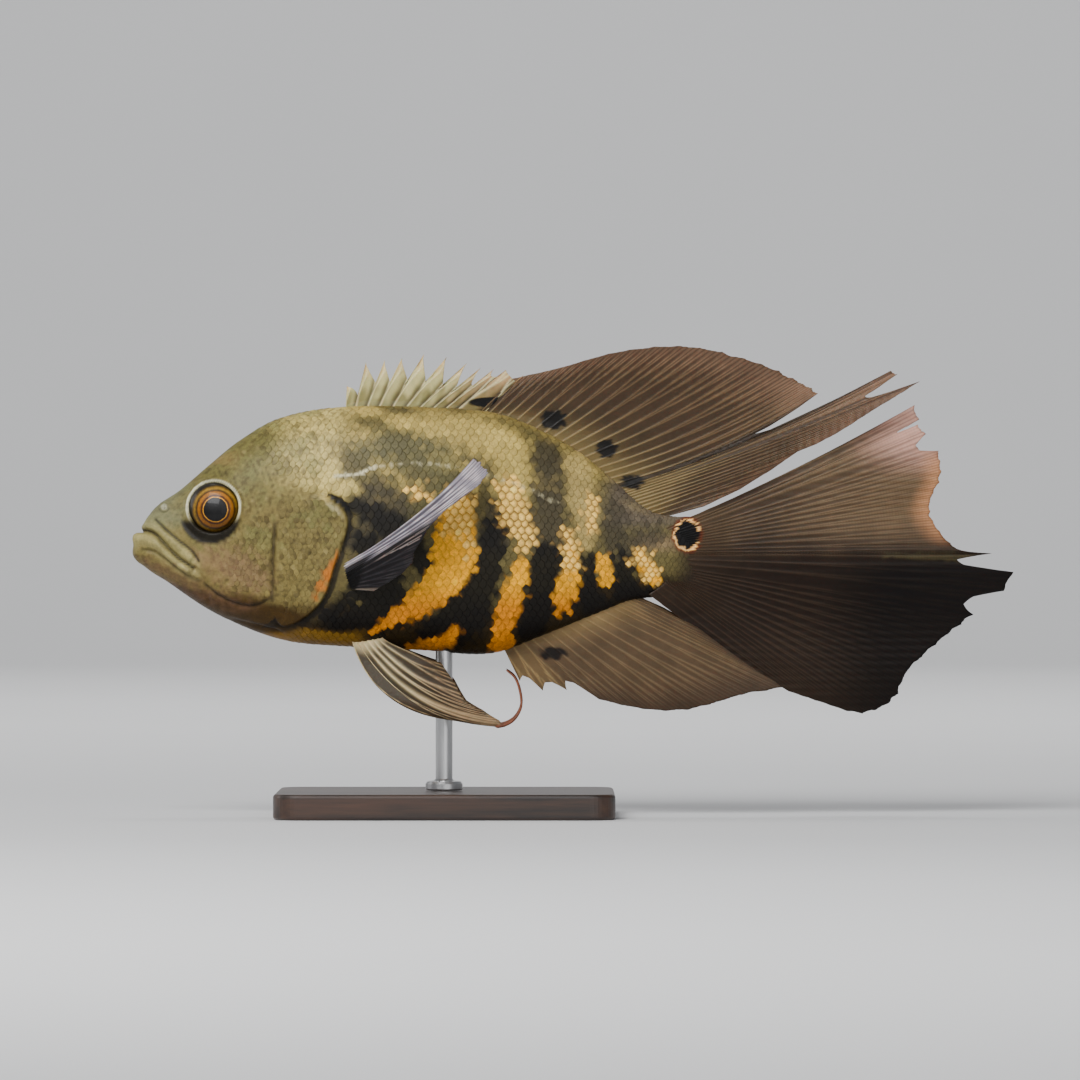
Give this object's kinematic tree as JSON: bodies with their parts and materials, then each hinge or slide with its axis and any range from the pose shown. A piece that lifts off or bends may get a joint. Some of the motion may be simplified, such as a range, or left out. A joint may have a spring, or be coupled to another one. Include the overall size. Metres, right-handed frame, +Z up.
{
  "type": "oscar fish",
  "caption": "Life-size model of a long-finned oscar fish swimming level, with all its fins spread, held on one rod above a flat display base.",
  "frame": {"origin": "centre of the model's length and width, on the surface that the stand rests on", "axes": "-X towards the fish's head, -Y towards its left flank, which the picture shows, +Z up"},
  "size_m": [0.3136, 0.092, 0.1671],
  "materials": {
    "skin": "satin",
    "eye": "gloss",
    "fin": "satin",
    "pectoral_fin": "satin",
    "stand_base": "satin",
    "stand_rod": "brushed"
  },
  "bodies": {
    "root": {"head": "skin", "lower_jaw": "skin", "torso": "skin", "tail_stem": "skin", "left_gill_cover": "skin", "right_gill_cover": "skin", "left_eye": "eye", "right_eye": "eye", "dorsal_fin_spines": "fin", "dorsal_fin_soft": "fin", "dorsal_fin_trail": "fin", "tail_fin_upper": "fin", "tail_fin_lower": "fin", "anal_fin": "fin", "left_pelvic_fin": "fin", "right_pelvic_fin": "fin", "left_pelvic_filament": "fin", "right_pelvic_filament": "fin", "left_pectoral_fin": "pectoral_fin", "right_pectoral_fin": "pectoral_fin", "stand_base": "stand_base", "stand_rod": "stand_rod"}
  },
  "joints": []
}
